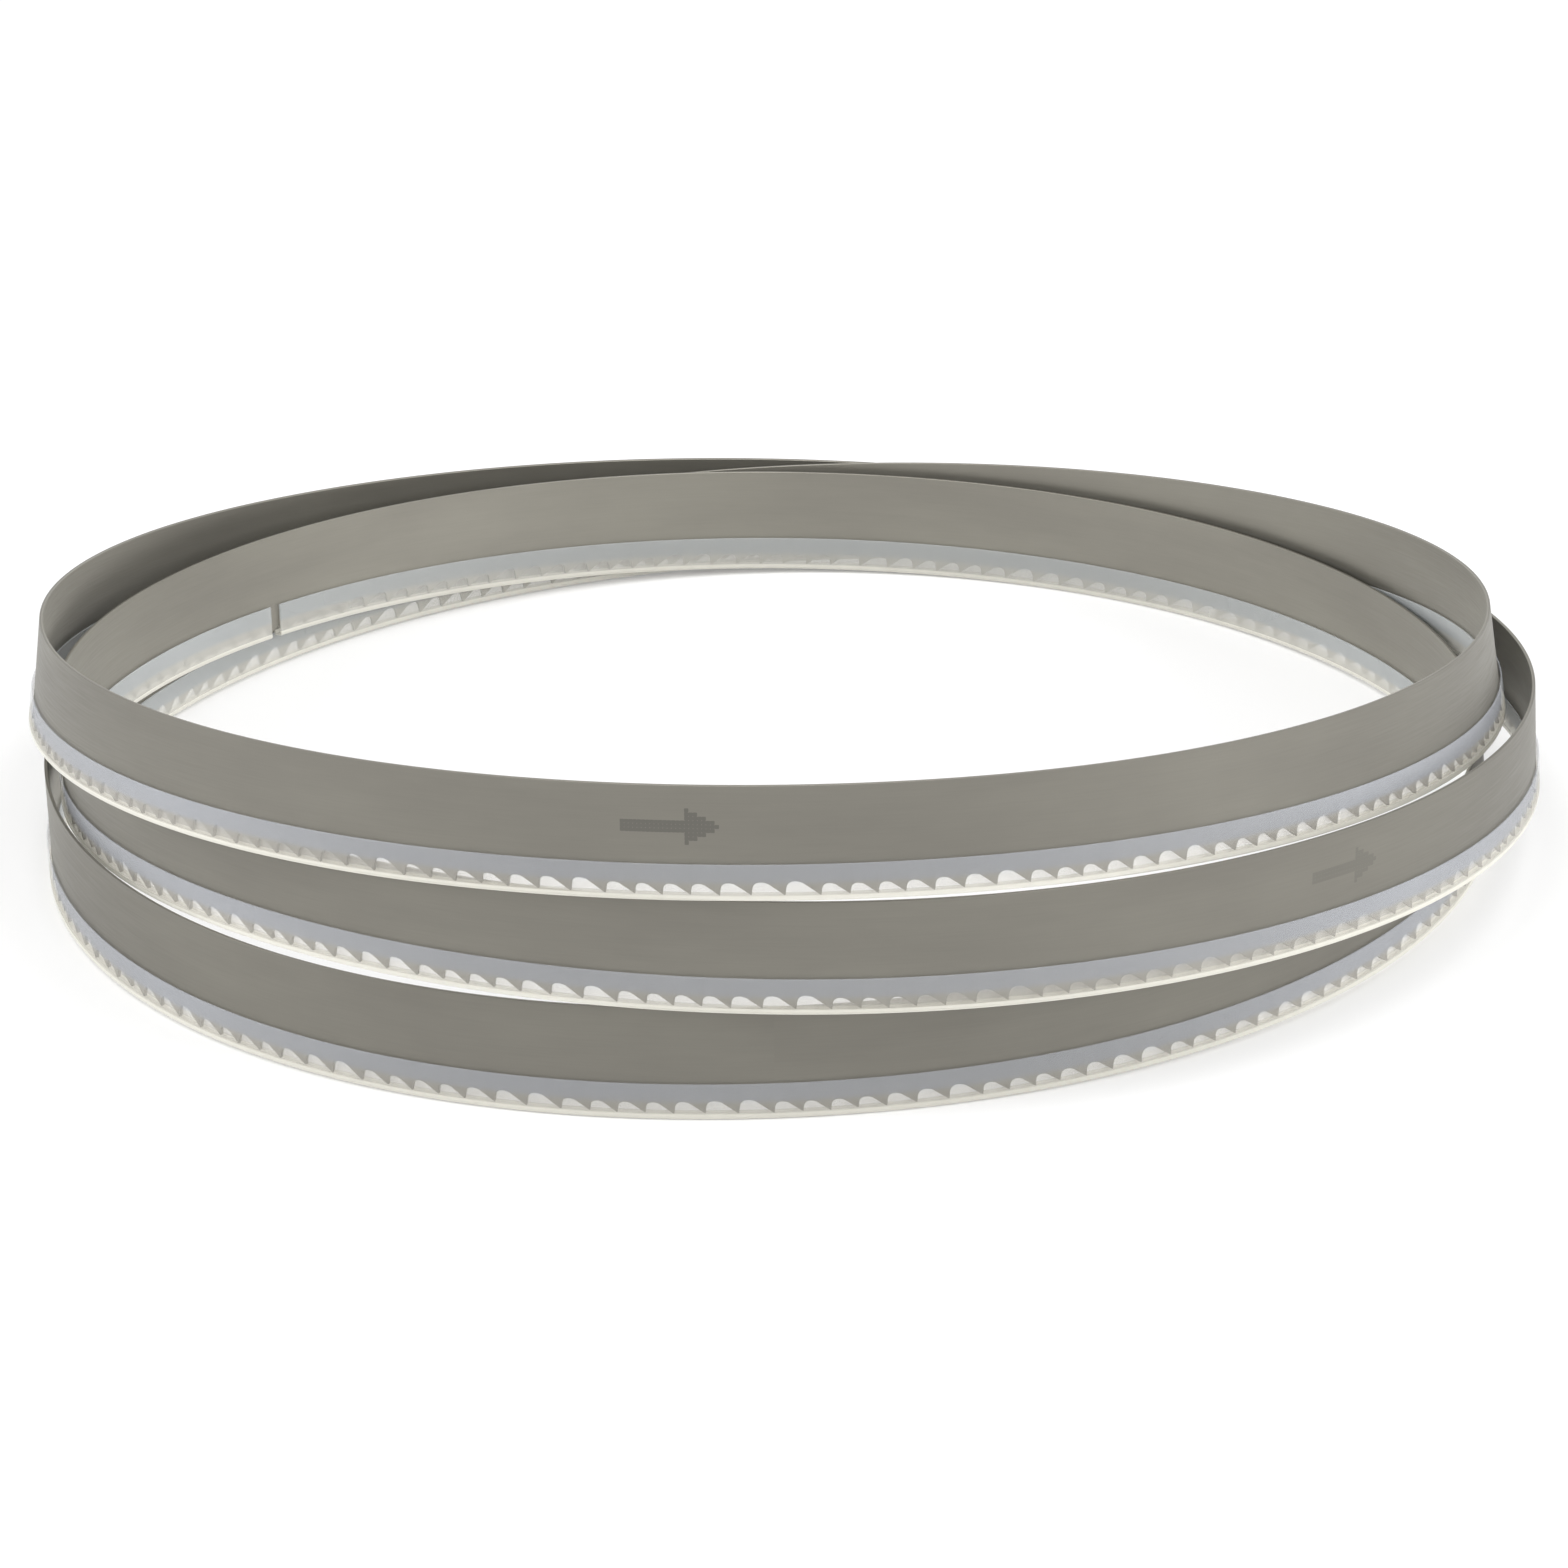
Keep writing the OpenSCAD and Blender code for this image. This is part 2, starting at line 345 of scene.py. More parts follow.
@dataclass
class AlongPath:
    """Geometry Nodes tree that repeats a flat length and lays the result along the path."""

    name: str = "repeat_along_path"

    def tree(self) -> bpy.types.NodeTree:
        """Builds the tree.

        Returns:
            A tree whose inputs are the flat length, the path, how often and how far apart the
            length repeats, where it starts, the weld distance and the material.
        """
        tree = bpy.data.node_groups.new(self.name, "GeometryNodeTree")
        tree.is_modifier = True
        sockets = (
            ("Flat length", "INPUT", "NodeSocketGeometry"), ("Path", "INPUT", "NodeSocketObject"),
            ("Count", "INPUT", "NodeSocketInt"), ("Pitch", "INPUT", "NodeSocketFloat"),
            ("Start", "INPUT", "NodeSocketFloat"), ("Path length", "INPUT", "NodeSocketFloat"),
            ("Weld", "INPUT", "NodeSocketFloat"), ("Material", "INPUT", "NodeSocketMaterial"),
            ("Piece", "OUTPUT", "NodeSocketGeometry"),
        )
        for name, way, kind in sockets:
            tree.interface.new_socket(name, in_out=way, socket_type=kind)
        nodes = Nodes(tree)
        given = nodes.add("NodeGroupInput").outputs
        straight = self._repeated(nodes, given)
        laid = self._laid(nodes, given, straight)
        real = nodes.add("GeometryNodeRealizeInstances", {0: laid}).outputs[0]
        dressed = nodes.add("GeometryNodeSetMaterial", {"Geometry": real, "Material": given["Material"]})
        nodes.add("NodeGroupOutput", {0: dressed.outputs[0]})
        return tree

    def _repeated(self, nodes: Nodes, given: bpy.types.bpy_prop_collection) -> bpy.types.NodeSocket:
        """Repeats the flat length along X and keeps the copies' flat places as a map."""
        start = nodes.add("ShaderNodeCombineXYZ", {"X": given["Start"]}).outputs[0]
        offset = nodes.add("ShaderNodeCombineXYZ", {"X": given["Pitch"]}).outputs[0]
        line = nodes.add(
            "GeometryNodeMeshLine",
            {"Count": given["Count"], "Start Location": start, "Offset": offset},
        ).outputs[0]
        copies = nodes.add(
            "GeometryNodeInstanceOnPoints", {"Points": line, "Instance": given["Flat length"]},
        ).outputs[0]
        real = nodes.add("GeometryNodeRealizeInstances", {0: copies}).outputs[0]
        place = nodes.add("GeometryNodeInputPosition").outputs[0]
        mapped = nodes.add(
            "GeometryNodeStoreNamedAttribute",
            {"Geometry": real, "Name": FLAT_PLACE, "Value": place},
            data_type="FLOAT_VECTOR", domain="CORNER",
        ).outputs[0]
        return mapped

    def _laid(
        self, nodes: Nodes, given: bpy.types.bpy_prop_collection, straight: bpy.types.NodeSocket
    ) -> bpy.types.NodeSocket:
        """Bends the straight piece to the path and welds it where it closes."""
        info = nodes.add("GeometryNodeObjectInfo", {"Object": given["Path"]}).outputs["Geometry"]
        curve = nodes.add("GeometryNodeMeshToCurve", {0: info}).outputs[0]
        flat = nodes.add("ShaderNodeSeparateXYZ", {0: nodes.add("GeometryNodeInputPosition").outputs[0]})
        run = nodes.math("FLOORED_MODULO", flat.outputs["X"], given["Path length"])
        ways = []
        for name in ("up", "out"):
            named = nodes.add(
                "GeometryNodeInputNamedAttribute", {"Name": name}, data_type="FLOAT_VECTOR",
            ).outputs[0]
            sample = nodes.add(
                "GeometryNodeSampleCurve", {"Curves": curve, "Length": run},
                data_type="FLOAT_VECTOR", mode="LENGTH",
            )
            value = next(s for s in sample.inputs if s.name == "Value" and s.type == "VECTOR")
            nodes.tree.links.new(named, value)
            direction = next(s for s in sample.outputs if s.name == "Value" and s.type == "VECTOR")
            ways.append(nodes.vector("NORMALIZE", direction))
            middle = sample.outputs["Position"]
        rise = nodes.add("ShaderNodeVectorMath", {0: ways[0], "Scale": flat.outputs["Z"]}, operation="SCALE")
        shift = nodes.add("ShaderNodeVectorMath", {0: ways[1], "Scale": flat.outputs["Y"]}, operation="SCALE")
        place = nodes.vector("ADD", nodes.vector("ADD", middle, rise.outputs[0]), shift.outputs[0])
        moved = nodes.add("GeometryNodeSetPosition", {"Geometry": straight, "Position": place}).outputs[0]
        return nodes.add("GeometryNodeMergeByDistance", {"Geometry": moved, "Distance": given["Weld"]}).outputs[0]


@dataclass
class Workshop:
    """What every piece is made with: the path, its guide line and the tree that follows it."""

    path: CoilPath = field(default_factory=CoilPath)
    guide: bpy.types.Object | None = None
    tree: bpy.types.NodeTree | None = None

    def open(self) -> None:
        """Makes the guide line and the tree."""
        self.guide = self.path.guide()
        self.tree = AlongPath().tree()

    def close(self) -> None:
        """Removes the guide line."""
        bpy.data.objects.remove(self.guide)

    def lay(
        self, name: str, flat: bpy.types.Mesh, count: int, pitch: float, start: float,
        weld: float, material: bpy.types.Material,
    ) -> bpy.types.Object:
        """Repeats a flat length along the path and makes the result a plain mesh.

        Args:
            name: name of the finished piece.
            flat: the flat length.
            count: how often it repeats.
            pitch: distance from one copy to the next, in millimetres.
            start: run at which the first copy starts, in millimetres.
            weld: distance within which points are joined, in millimetres.
            material: the piece's finish.

        Returns:
            The finished object at the origin, in the scene, with no modifier left.
        """
        stock = bpy.data.objects.new(name + "_flat", flat)
        bpy.context.scene.collection.objects.link(stock)
        modifier = stock.modifiers.new("along", "NODES")
        modifier.node_group = self.tree
        values = {
            "Path": self.guide, "Count": count, "Pitch": pitch * MM, "Start": start * MM,
            "Path length": self.path.length * MM, "Weld": weld * MM, "Material": material,
        }
        for item in self.tree.interface.items_tree:
            if item.in_out == "INPUT" and item.name in values:
                modifier[item.identifier] = values[item.name]
        evaluated = stock.evaluated_get(bpy.context.evaluated_depsgraph_get())
        mesh = bpy.data.meshes.new_from_object(evaluated)
        bpy.data.objects.remove(stock)
        mesh.name = name
        piece = bpy.data.objects.new(name, mesh)
        bpy.context.scene.collection.objects.link(piece)
        return piece


def closed(piece: bpy.types.Object, sharp_deg: float) -> None:
    """Caps a piece's open ends, turns its faces outwards and shades it smooth between its edges.

    Args:
        piece: the piece, whose mesh is changed.
        sharp_deg: angle in degrees from which an edge stays sharp.
    """
    shape = bmesh.new()
    shape.from_mesh(piece.data)
    rims = [edge for edge in shape.edges if edge.is_boundary]
    if rims:
        bmesh.ops.holes_fill(shape, edges=rims, sides=0)
    bmesh.ops.recalc_face_normals(shape, faces=shape.faces)
    shape.to_mesh(piece.data)
    shape.free()
    piece.data.shade_smooth()
    piece.data.set_sharp_from_angle(angle=math.radians(sharp_deg))


def coloured(value: tuple[float, float, float]) -> tuple[float, float, float, float]:
    """A colour with full cover, for a shader's socket."""
    return (*value, 1.0)


def mixed(nodes: Nodes, share: bpy.types.NodeSocket, low: object, high: object) -> bpy.types.NodeSocket:
    """Mixes two colours by a share.

    Args:
        nodes: the material's nodes.
        share: how much of the second colour shows, from 0 to 1.
        low: the first colour, as a value or an output.
        high: the second colour, as a value or an output.

    Returns:
        The mixed colour's output.
    """
    mix = nodes.add("ShaderNodeMix", data_type="RGBA")
    colours = [socket for socket in mix.inputs if socket.type == "RGBA"]
    nodes.tree.links.new(share, mix.inputs[0])
    for socket, value in zip(colours, (low, high)):
        if isinstance(value, bpy.types.NodeSocket):
            nodes.tree.links.new(value, socket)
        else:
            socket.default_value = value
    return next(socket for socket in mix.outputs if socket.type == "RGBA")


def between(nodes: Nodes, share: bpy.types.NodeSocket, low: object, high: object) -> bpy.types.NodeSocket:
    """Runs from one number to another by a share.

    Args:
        nodes: the material's nodes.
        share: how far to go towards the second number, from 0 to 1.
        low: the first number, as a value or an output.
        high: the second number, as a value or an output.

    Returns:
        The output of the number between them.
    """
    return nodes.add("ShaderNodeMapRange", {"Value": share, "To Min": low, "To Max": high}).outputs[0]


@dataclass(frozen=True)
class DottedArrow:
    """A plain arrow of ink dots, which shows the way that the blade runs.

    Attributes:
        run: where the arrow's tail is, as a run along the band in millimetres.
        height: height of its middle over the loop's middle, in millimetres.
        length: its length in millimetres.
        head_length: length of its head.
        head_half: half the width of the head's foot.
        shaft_half: half the width of its shaft.
        pitch: distance between two dots.
        dot: radius of a dot as a share of the pitch, over a half where dots run into each other.
        ink: how much the ink covers, from 0 to 1.
    """

    run: float
    height: float = 4.0
    length: float = 22.0
    head_length: float = 7.0
    head_half: float = 4.0
    shaft_half: float = 1.0
    pitch: float = 1.0
    dot: float = 0.62
    ink: float = 0.45

    def cover(self, nodes: Nodes, place: bpy.types.bpy_prop_collection) -> bpy.types.NodeSocket:
        """Adds the nodes that give the ink's cover.

        Args:
            nodes: the material's nodes.
            place: outputs X, Y and Z of the flat place in metres.

        Returns:
            The cover, which is zero away from the dots.
        """
        pitch = self.pitch * MM
        along = nodes.math("DIVIDE", nodes.math("SUBTRACT", place["X"], self.run * MM), pitch)
        up = nodes.math("DIVIDE", nodes.math("SUBTRACT", place["Z"], self.height * MM), pitch)
        column, row = nodes.math("ROUND", along), nodes.math("ABSOLUTE", nodes.math("ROUND", up))
        off_along = nodes.math("PINGPONG", nodes.math("ADD", along, 1000.0), 0.5)
        off_up = nodes.math("PINGPONG", nodes.math("ADD", up, 1000.0), 0.5)
        away = nodes.math("SQRT", nodes.math("ADD", nodes.math("POWER", off_along, 2.0), nodes.math("POWER", off_up, 2.0)))
        in_dot = nodes.math("LESS_THAN", away, self.dot)
        from_tip = nodes.math("SUBTRACT", self.length / self.pitch, column)
        slope = self.head_half / self.head_length
        in_head = nodes.math(
            "MULTIPLY",
            nodes.math("LESS_THAN", row, nodes.math("MULTIPLY_ADD", from_tip, slope, 0.5)),
            nodes.math("LESS_THAN", from_tip, self.head_length / self.pitch + 0.5),
        )
        in_shaft = nodes.math(
            "MULTIPLY",
            nodes.math("LESS_THAN", row, self.shaft_half / self.pitch + 0.5),
            nodes.math("GREATER_THAN", from_tip, self.head_length / self.pitch - 0.5),
        )
        shape = nodes.math("MAXIMUM", in_head, in_shaft)
        past_tail = nodes.math("GREATER_THAN", column, -0.5)
        short_of_tip = nodes.math("GREATER_THAN", from_tip, -0.5)
        outside = nodes.math("GREATER_THAN", place["Y"], 0.0)
        share = nodes.math("MULTIPLY", in_dot, self.ink)
        for limit in (shape, past_tail, short_of_tip, outside):
            share = nodes.math("MULTIPLY", share, limit)
        return share


@dataclass(frozen=True)
class SatinSteel:
    """Band steel, ground lengthwise, with a faint bloom and dotted ink arrows, and with painted light that colours its
    inner face lighter than its outer face.
    """

    arrows: tuple[DottedArrow, ...] = ()
    colour: tuple[float, float, float] = (0.206, 0.197, 0.169)
    dark: tuple[float, float, float] = (0.18, 0.171, 0.148)
    # Painted light: factor by which the inner face's colour is lighter than the outer face's.
    inner: float = 1.32
    ink: tuple[float, float, float] = (0.05, 0.05, 0.048)
    metal: float = 0.62
    roughness: float = 0.46
    grain_per_m: float = 2600.0
    grain_length: float = 55.0

    def material(self) -> bpy.types.Material:
        """Builds the material.

        Returns:
            A procedural metal whose grain follows the band.
        """
        made = bpy.data.materials.new("satin_band_steel")
        made.use_nodes = True
        nodes = Nodes(made.node_tree)
        flat = nodes.add("ShaderNodeAttribute", attribute_name=FLAT_PLACE).outputs["Vector"]
        stretch = nodes.vector("MULTIPLY", flat, (self.grain_length, self.grain_per_m, self.grain_per_m))
        grain = nodes.add("ShaderNodeTexNoise", {"Vector": stretch, "Scale": 1.0, "Detail": 3.0})
        wide = nodes.vector("MULTIPLY", flat, (14.0, 60.0, 60.0))
        bloom = nodes.add("ShaderNodeTexNoise", {"Vector": wide, "Scale": 1.0, "Detail": 4.0, "Roughness": 0.55})
        bloom_share = nodes.add(
            "ShaderNodeMapRange",
            {"Value": bloom.outputs[0], "From Min": 0.32, "From Max": 0.68, "To Min": 0.0, "To Max": 1.0},
        ).outputs[0]
        tint = mixed(nodes, bloom_share, coloured(self.dark), coloured(self.colour))
        place = nodes.add("ShaderNodeSeparateXYZ", {0: flat}).outputs
        # Painted light: the inner face, where the flat place's Y is below zero, is coloured lighter by the factor
        # inner.
        side = nodes.math("LESS_THAN", place["Y"], 0.0)
        inner_face_painted_light = nodes.math("MULTIPLY_ADD", side, self.inner - 1.0, 1.0)
        tint = nodes.add("ShaderNodeVectorMath", {0: tint, "Scale": inner_face_painted_light}, operation="SCALE").outputs[0]
        for arrow in self.arrows:
            tint = mixed(nodes, arrow.cover(nodes, place), tint, coloured(self.ink))
        rough = nodes.add(
            "ShaderNodeMapRange",
            {
                "Value": grain.outputs[0], "From Min": 0.3, "From Max": 0.7,
                "To Min": self.roughness - 0.05, "To Max": self.roughness + 0.06,
            },
        ).outputs[0]
        bump = nodes.add(
            "ShaderNodeBump", {"Height": grain.outputs[0], "Strength": 0.12, "Distance": 0.00004},
        ).outputs[0]
        shader = nodes.add(
            "ShaderNodeBsdfPrincipled",
            {"Base Color": tint, "Metallic": self.metal, "Roughness": rough, "Normal": bump},
        )
        nodes.add("ShaderNodeOutputMaterial", {"Surface": shader.outputs[0]})
        return made


@dataclass(frozen=True)
class MilkyPlastic:
    """Soft clear guard plastic with a slight milkiness, and a denser floor, with painted light that colours it lighter
    and creamier beside the gullets and in the floor.

    Attributes:
        wall_colour: colour of the milk in the outer wall over the gullets.
        wall_gullet_painted_light_colour: the same beside the gullets, painted lighter and creamier for the light that
            comes through them.
        inner_colour: colour of the milk in the inner wall over the gullets.
        inner_gullet_painted_light_colour: the same beside the gullets, painted lighter and creamier for the light that
            comes through them.
        floor_colour: colour of the milk in the floor, painted lighter and creamier than the walls.
        roughness: roughness of the gloss.
        wall_cover: how much one face of the outer wall covers over the gullets, seen straight on.
        wall_crown_cover: the same beside the gullets.
        inner_cover: how much one face of the inner wall covers over the gullets.
        inner_crown_cover: the same beside the gullets.
        floor_cover: how much one face of the floor covers, seen straight on.
        least_facing: how far a face turns away before its cover stops growing.
        floor_top: height of the floor's top over the loop's middle, in millimetres.
        crown_top: height of the gullets' crowns over the loop's middle, in millimetres.
    """

    floor_top: float
    crown_top: float
    # Painted light: the colours beside the gullets and the floor colour are lighter and creamier than the wall colours.
    wall_colour: tuple[float, float, float] = (0.69, 0.722, 0.79)
    wall_gullet_painted_light_colour: tuple[float, float, float] = (0.76, 0.735, 0.68)
    inner_colour: tuple[float, float, float] = (0.69, 0.725, 0.74)
    inner_gullet_painted_light_colour: tuple[float, float, float] = (0.85, 0.84, 0.785)
    floor_colour: tuple[float, float, float] = (0.9, 0.88, 0.8)
    roughness: float = 0.3
    wall_cover: float = 0.165
    wall_crown_cover: float = 0.14
    inner_cover: float = 0.23
    inner_crown_cover: float = 0.215
    floor_cover: float = 0.5
    least_facing: float = 0.55

    def material(self) -> bpy.types.Material:
        """Builds the material.

        Returns:
            A thin milky plastic that covers more where it is seen edge-on.
        """
        made = bpy.data.materials.new("milky_guard_plastic")
        made.use_nodes = True
        nodes = Nodes(made.node_tree)
        flat = nodes.add("ShaderNodeAttribute", attribute_name=FLAT_PLACE).outputs["Vector"]
        place = nodes.add("ShaderNodeSeparateXYZ", {0: flat}).outputs
        floor = nodes.math("LESS_THAN", place["Z"], self.floor_top * MM)
        side = nodes.math("LESS_THAN", place["Y"], 0.0)
        crown = nodes.add(
            "ShaderNodeMapRange",
            {
                "Value": place["Z"], "From Min": (self.crown_top - 0.8) * MM, "From Max": (self.crown_top + 0.4) * MM,
                "To Min": 1.0, "To Max": 0.0,
            },
        ).outputs[0]
        outer_wall = between(nodes, crown, self.wall_cover, self.wall_crown_cover)
        inner_wall = between(nodes, crown, self.inner_cover, self.inner_crown_cover)
        straight = between(nodes, floor, between(nodes, side, outer_wall, inner_wall), self.floor_cover)
        facing = nodes.add("ShaderNodeLayerWeight", {"Blend": 0.5}).outputs["Facing"]
        thicker = nodes.math("DIVIDE", 1.0, nodes.math("MAXIMUM", nodes.math("SUBTRACT", 1.0, facing), self.least_facing))
        cover = nodes.math("SUBTRACT", 1.0, nodes.math("POWER", nodes.math("SUBTRACT", 1.0, straight), thicker))
        # Painted light: beside the gullets and in the floor the milk takes its lighter, creamier colours.
        outside = mixed(nodes, crown, coloured(self.wall_colour), coloured(self.wall_gullet_painted_light_colour))
        inside = mixed(nodes, crown, coloured(self.inner_colour), coloured(self.inner_gullet_painted_light_colour))
        milk = mixed(nodes, side, outside, inside)
        tint = mixed(nodes, floor, milk, coloured(self.floor_colour))
        shader = nodes.add(
            "ShaderNodeBsdfPrincipled",
            {"Base Color": tint, "Roughness": self.roughness, "IOR": 1.46, "Alpha": cover},
        )
        nodes.add("ShaderNodeOutputMaterial", {"Surface": shader.outputs[0]})
        return made


@dataclass
class ToothedBand:
    """The endless blade with its set teeth."""

    shop: Workshop
    gaps: tuple[float, ...] = (0.136, 0.13, 0.131, 0.135, 0.146, 0.156, 0.166)
    bends: tuple[int, ...] = (1, -1, 1, -1, 1, -1, 0)
    face_end: tuple[float, float] = (0.03, 0.62)
    gullet_pull: tuple[tuple[float, float], ...] = ((0.06, 1.02), (0.28, 1.1))
    slope_start: tuple[float, float] = (0.48, 0.88)
    land: tuple[float, float] = (0.975, 0.02)
    gullet_steps: int = 7
    edge_round: float = 0.12
    arrow_turns: tuple[float, float] = (15.765, 8.94)
    weld: float = 0.004
    sharp_deg: float = 38.0
    piece: bpy.types.Object | None = None

    def tooth_outline(self) -> list[tuple[float, float]]:
        """Outline from a tip over its upright face, the round gullet and the slope to the next tip.

        Returns:
            Points as the share of the gap along the band and the share of the gullet's depth.
        """
        corners = (self.face_end, *self.gullet_pull, self.slope_start)
        outline = [(0.0, 0.0)]
        for i in range(self.gullet_steps + 1):
            t = i / self.gullet_steps
            weights = ((1 - t) ** 3, 3 * t * (1 - t) ** 2, 3 * t**2 * (1 - t), t**3)
            outline.append(tuple(sum(w * c[k] for w, c in zip(weights, corners)) for k in (0, 1)))
        middle = tuple((a + b) / 2 for a, b in zip(self.slope_start, self.land))
        outline.extend((middle, self.land))
        return outline

    def section(self, run: float, depth: float, share: float, bend: float) -> Section:
        """One cross-section of the flat band.

        Args:
            run: place along the band.
            depth: height of the toothed edge over the tooth tips.
            share: that depth as a share of the gap's own gullet.
            bend: which way the tooth is bent, from -1 to 1.

        Returns:
            The section, from the outer side of the back edge round over the teeth.
        """
        stock = self.shop.path.stock
        half = stock.band_t / 2
        middle = stock.loop_h / 2
        back = stock.loop_h - middle
        root = stock.tip_height + stock.gullet_depth + 0.4 - middle
        edge = stock.tip_height + depth - middle
        lean = bend * stock.tooth_set * max(0.0, 1 - share / 0.95)
        r = self.edge_round
        return Section(run, (
            (back, half - r), (back - r, half), ((back + root) / 2, half), (root, half),
            (edge, lean + half), (edge, lean - half),
            (root, -half), ((back + root) / 2, -half), (back - r, -half), (back, r - half),
        ))

    def flat_set(self, set_length: float) -> bpy.types.Mesh:
        """One set of teeth on a flat length of band.

        Args:
            set_length: length of the set along the band.

        Returns:
            The open-ended mesh of the set.
        """
        stock = self.shop.path.stock
        whole = sum(self.gaps)
        sections = []
        start = 0.0
        for i, gap in enumerate(self.gaps):
            depth = stock.gullet_depth * gap / max(self.gaps)
            following = self.bends[(i + 1) % len(self.bends)]
            for along, share in self.tooth_outline():
                bend = self.bends[i] if along < self.gullet_pull[1][0] else following
                sections.append(self.section(start + along * gap / whole * set_length, share * depth, share, bend))
            start += gap / whole * set_length
        sections.append(self.section(set_length, 0.0, 0.0, self.bends[0]))
        return lofted("tooth_set", sections)

    def finish(self) -> SatinSteel:
        """The steel with its two run arrows, at the front of the top loop and of the middle one."""
        path = self.shop.path
        return SatinSteel(arrows=(
            DottedArrow(run=path.run_at(self.arrow_turns[0])),
            DottedArrow(run=path.run_at(self.arrow_turns[1]), ink=0.22),
        ))

    def build(self) -> None:
        """Lays whole sets of teeth round the path and closes them to one band."""
        path = self.shop.path
        sets = 2 * round(path.length / path.stock.set_pitch / 2)
        set_length = path.length / sets
        self.piece = self.shop.lay(
            "toothed_band", self.flat_set(set_length), sets, set_length, 0.0, self.weld,
            self.finish().material(),
        )
        closed(self.piece, self.sharp_deg)

    def dress(self) -> None:
        """Puts the band in the solid's place."""
        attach(self.piece, BODY)
        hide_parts(Node.BAND.value)


@dataclass
class ClearGuard:
    """The plastic channel over the teeth."""

    shop: Workshop
    stretch: float = 2.5
    corner_r: float = 0.55
    lip_r: float = 0.18
    corner_steps: int = 4
    end_trim: float = 0.8
    weld: float = 0.004
    sharp_deg: float = 50.0
    piece: bpy.types.Object | None = None

    def arc(self, out: float, up: float, radius: float, first_deg: float, last_deg: float) -> list[tuple[float, float]]:
        """Points of a round corner, as out and up.

        Args:
            out: the arc's centre, out from the middle plane.
            up: the arc's centre, up from the guard's underside.
            radius: radius of the arc.
            first_deg: angle of the first point, from out towards up.
            last_deg: angle of the last point.

        Returns:
            The arc's points in order.
        """
        points = []
        for i in range(self.corner_steps + 1):
            angle = math.radians(first_deg + (last_deg - first_deg) * i / self.corner_steps)
            points.append((out + radius * math.cos(angle), up + radius * math.sin(angle)))
        return points

    def channel(self) -> tuple[tuple[float, float], ...]:
        """Outline of the channel, open at its top, with round corners and lips."""
        stock = self.shop.path.stock
        half, slot = stock.guard_half, stock.slot_half
        r, lip = self.corner_r, self.lip_r
        inner_r = max(r - stock.guard_wall, 0.1)
        right = self.arc(half - r, r, r, -90, 0)
        right += self.arc(half - lip, stock.guard_h - lip, lip, 0, 90)
        right += self.arc(slot + lip, stock.guard_h - lip, lip, 90, 180)
        right += self.arc(slot - inner_r, stock.guard_floor + inner_r, inner_r, 0, -90)
        left = [(-out, up) for out, up in reversed(right)]
        return tuple((up - stock.loop_h / 2, out) for out, up in right + left)

    def build(self) -> None:
        """Lays the channel round the path, from one side of the slit to the other."""
        path = self.shop.path
        length = path.guard_length - 2 * self.end_trim
        count = round(length / self.stretch)
        pitch = length / count
        outline = self.channel()
        flat = lofted("guard_stretch", [Section(0.0, outline), Section(pitch, outline)])
        stock = path.stock
        finish = MilkyPlastic(
            floor_top=stock.tip_height + 0.1 - stock.loop_h / 2,
            crown_top=stock.tip_height + stock.gullet_depth - stock.loop_h / 2,
        )
        self.piece = self.shop.lay(
            "clear_guard", flat, count, pitch, path.guard_start + self.end_trim, self.weld, finish.material(),
        )
        closed(self.piece, self.sharp_deg)

    def dress(self) -> None:
        """Puts the guard in the solid's place."""
        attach(self.piece, BODY)
        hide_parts(Node.GUARD.value)


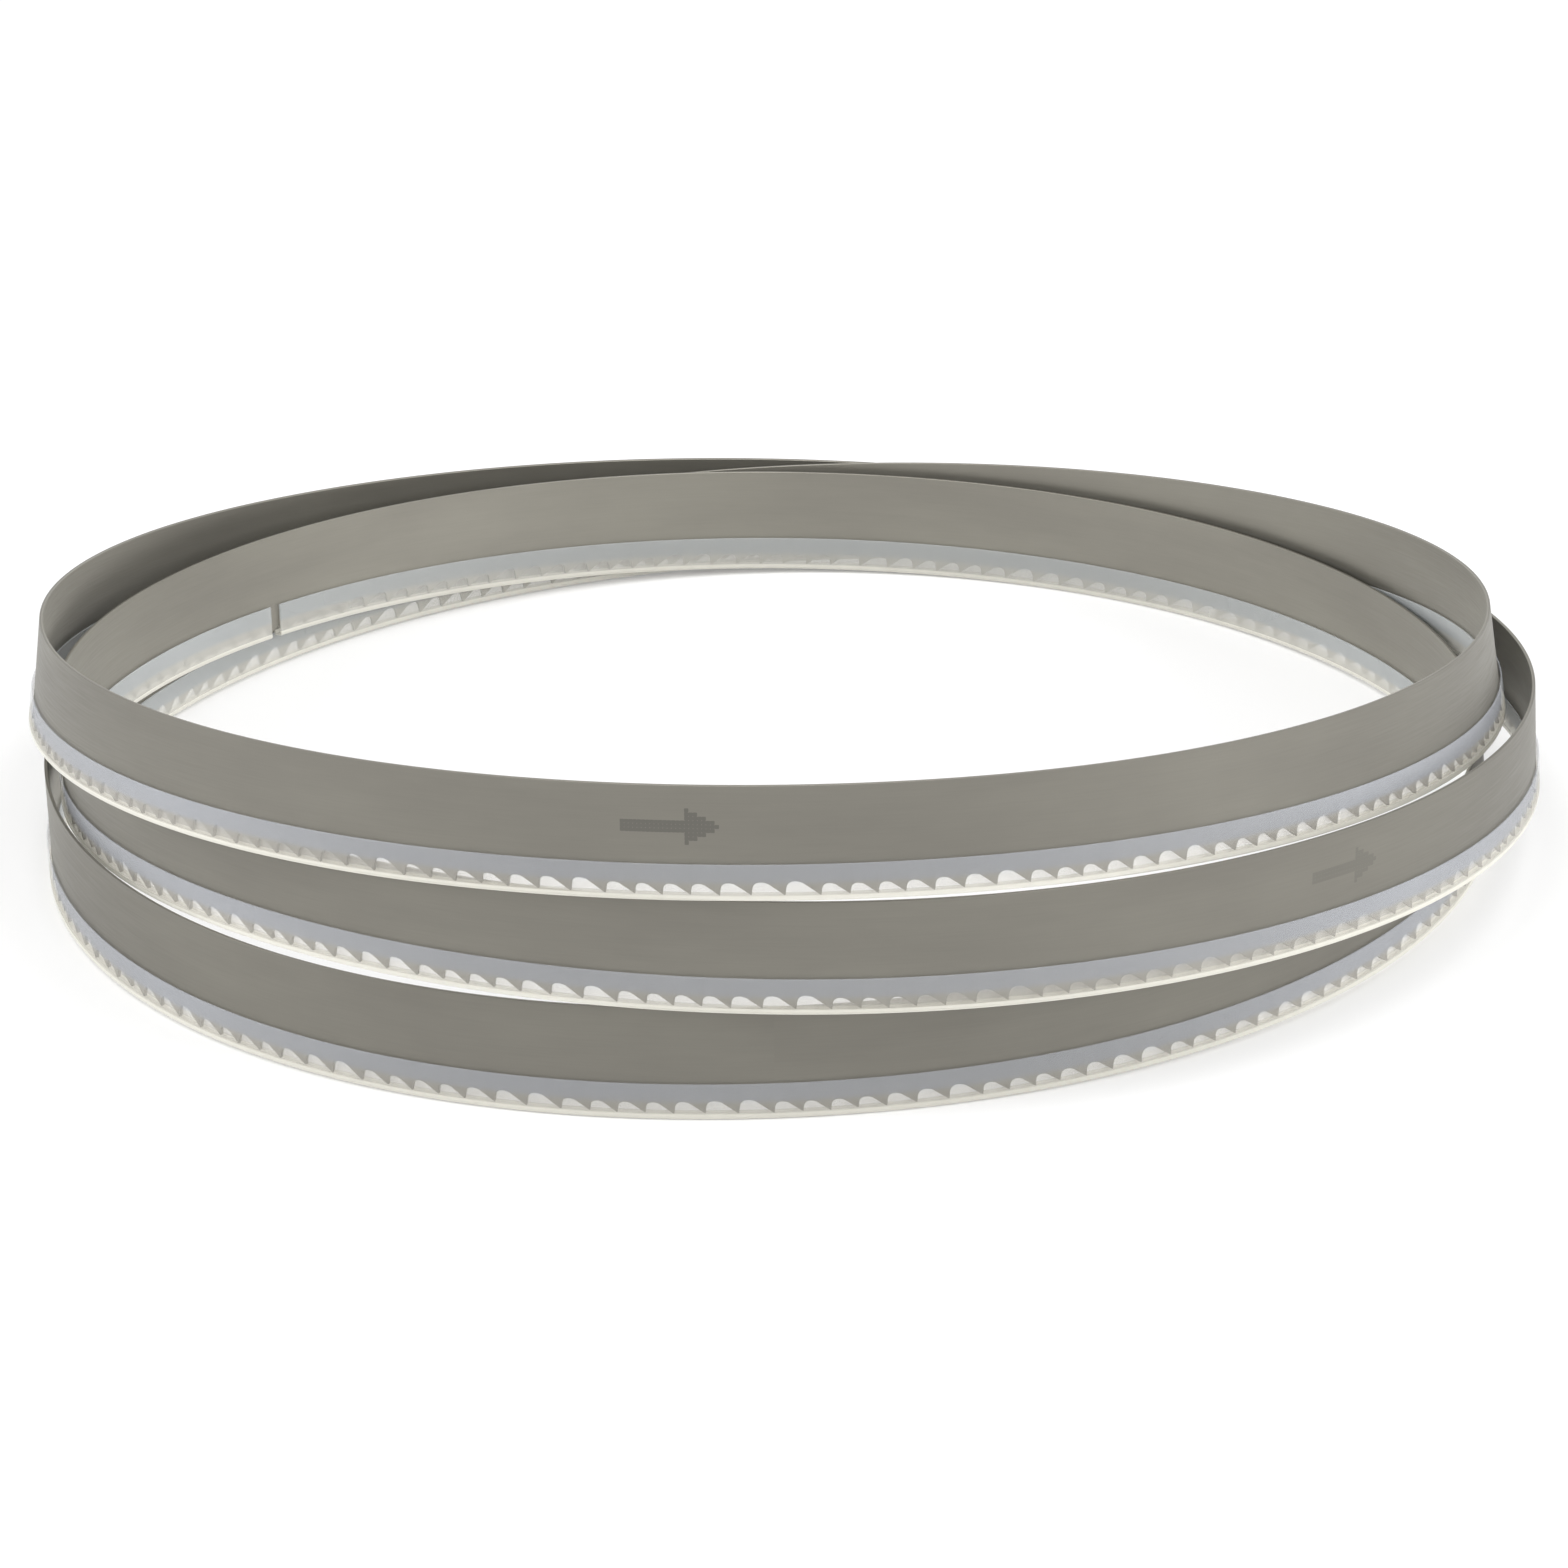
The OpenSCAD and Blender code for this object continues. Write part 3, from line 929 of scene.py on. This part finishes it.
@dataclass(frozen=True)
class Studio:
    """Plain pale floor, soft light, and the camera at the photograph's angle."""

    coil_home: Vector
    distance: float = 1800.0
    elevation_deg: float = 22.76
    focal_px: float = 6922.0
    aim: tuple[float, float] = (2.31, 10.9)
    sensor_mm: float = 36.0
    floor_half: float = 3.0
    floor_drop: float = 0.0002
    sky: float = 0.6
    floor_colour: tuple[float, float, float] = (0.8, 0.8, 0.8)
    floor_glow: float = 0.17

    def camera(self) -> None:
        """Makes the camera."""
        tilt = math.radians(self.elevation_deg)
        data = bpy.data.cameras.new("photo_camera")
        data.sensor_width = self.sensor_mm
        data.lens = self.focal_px * self.sensor_mm / PHOTO_PIXELS
        data.clip_end = 50.0
        camera = bpy.data.objects.new("photo_camera", data)
        place = Vector((self.aim[0], -self.distance * math.cos(tilt), self.distance * math.sin(tilt) + self.aim[1]))
        camera.location = (place + self.coil_home) * MM
        camera.rotation_euler = Euler((math.pi / 2 - tilt, 0, 0))
        bpy.context.scene.collection.objects.link(camera)
        bpy.context.scene.camera = camera

    def lamp(self, name: str, place: Vector, size: float, power: float) -> None:
        """Adds one soft square lamp that looks at the coil.

        Args:
            name: name of the lamp.
            place: where it hangs, in metres.
            size: length of its side, in metres.
            power: its power in watts.
        """
        data = bpy.data.lights.new(name, "AREA")
        data.size = size
        data.energy = power
        lamp = bpy.data.objects.new(name, data)
        lamp.location = place
        lamp.rotation_euler = (-place).to_track_quat("-Z", "Y").to_euler()
        bpy.context.scene.collection.objects.link(lamp)

    @staticmethod
    def seen(nodes: Nodes) -> bpy.types.NodeSocket:
        """1 for the rays that show the background: camera, glossy and transmission rays."""
        ray = nodes.add("ShaderNodeLightPath").outputs
        either = nodes.math("MAXIMUM", ray["Is Camera Ray"], ray["Is Glossy Ray"])
        return nodes.math("MAXIMUM", either, ray["Is Transmission Ray"])

    def world(self) -> None:
        """Makes a world that shows white and lights the coil at a plain level."""
        world = bpy.data.worlds.new("studio")
        world.use_nodes = True
        nodes = Nodes(world.node_tree)
        shown = self.seen(nodes)
        strength = nodes.add("ShaderNodeMapRange", {"Value": shown, "To Min": self.sky, "To Max": 1.0}).outputs[0]
        sky = nodes.add("ShaderNodeBackground", {"Color": (1, 1, 1, 1), "Strength": strength})
        nodes.add("ShaderNodeOutputWorld", {"Surface": sky.outputs[0]})
        bpy.context.scene.world = world

    def floor(self) -> None:
        """Makes the floor, which shows white away from the coil and keeps its shadow."""
        half = self.floor_half
        mesh = bpy.data.meshes.new("floor")
        corners = [(x, y, -self.floor_drop) for x, y in ((-half, -half), (half, -half), (half, half), (-half, half))]
        mesh.from_pydata(corners, [], [(0, 1, 2, 3)])
        floor = bpy.data.objects.new("floor", mesh)
        bpy.context.scene.collection.objects.link(floor)
        made = bpy.data.materials.new("pale_floor")
        made.use_nodes = True
        nodes = Nodes(made.node_tree)
        lit = nodes.add("ShaderNodeBsdfDiffuse", {"Color": coloured(self.floor_colour)})
        glow = nodes.math("MULTIPLY", self.seen(nodes), self.floor_glow)
        shown = nodes.add("ShaderNodeEmission", {"Color": (1, 1, 1, 1), "Strength": glow})
        both = nodes.add("ShaderNodeAddShader", {0: lit.outputs[0], 1: shown.outputs[0]})
        nodes.add("ShaderNodeOutputMaterial", {"Surface": both.outputs[0]})
        mesh.materials.append(made)

    def build(self) -> None:
        """Sets up the whole studio."""
        self.camera()
        self.lamp("top_softbox", Vector((0.0, -0.5, 2.0)), 1.6, 20.0)
        self.lamp("left_softbox", Vector((-2.1, -0.8, 1.0)), 1.2, 25.0)
        self.lamp("right_softbox", Vector((2.1, -0.8, 0.9)), 1.2, 29.0)
        self.world()
        self.floor()
        scene = bpy.context.scene
        scene.view_settings.view_transform = "Standard"
        scene.cycles.transparent_max_bounces = 48


def corners(bounds: tuple[Vector, Vector]) -> list[list[float]]:
    """A box's two corners as plain lists of numbers."""
    return [[float(x) for x in corner] for corner in bounds]


def main() -> None:
    """Builds and dresses the pieces in order."""
    logging.basicConfig(level=logging.INFO, format="%(message)s")
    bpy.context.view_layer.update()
    shop = Workshop()
    shop.open()
    for piece in (ToothedBand(shop), ClearGuard(shop)):
        piece.build()
        piece.dress()
        mesh = piece.piece.data
        mesh.calc_loop_triangles()
        LOG.info("%s: %d triangles", piece.piece.name, len(mesh.loop_triangles))
    shop.close()
    Studio(shop.path.home).build()


if __name__ == "__main__":
    main()
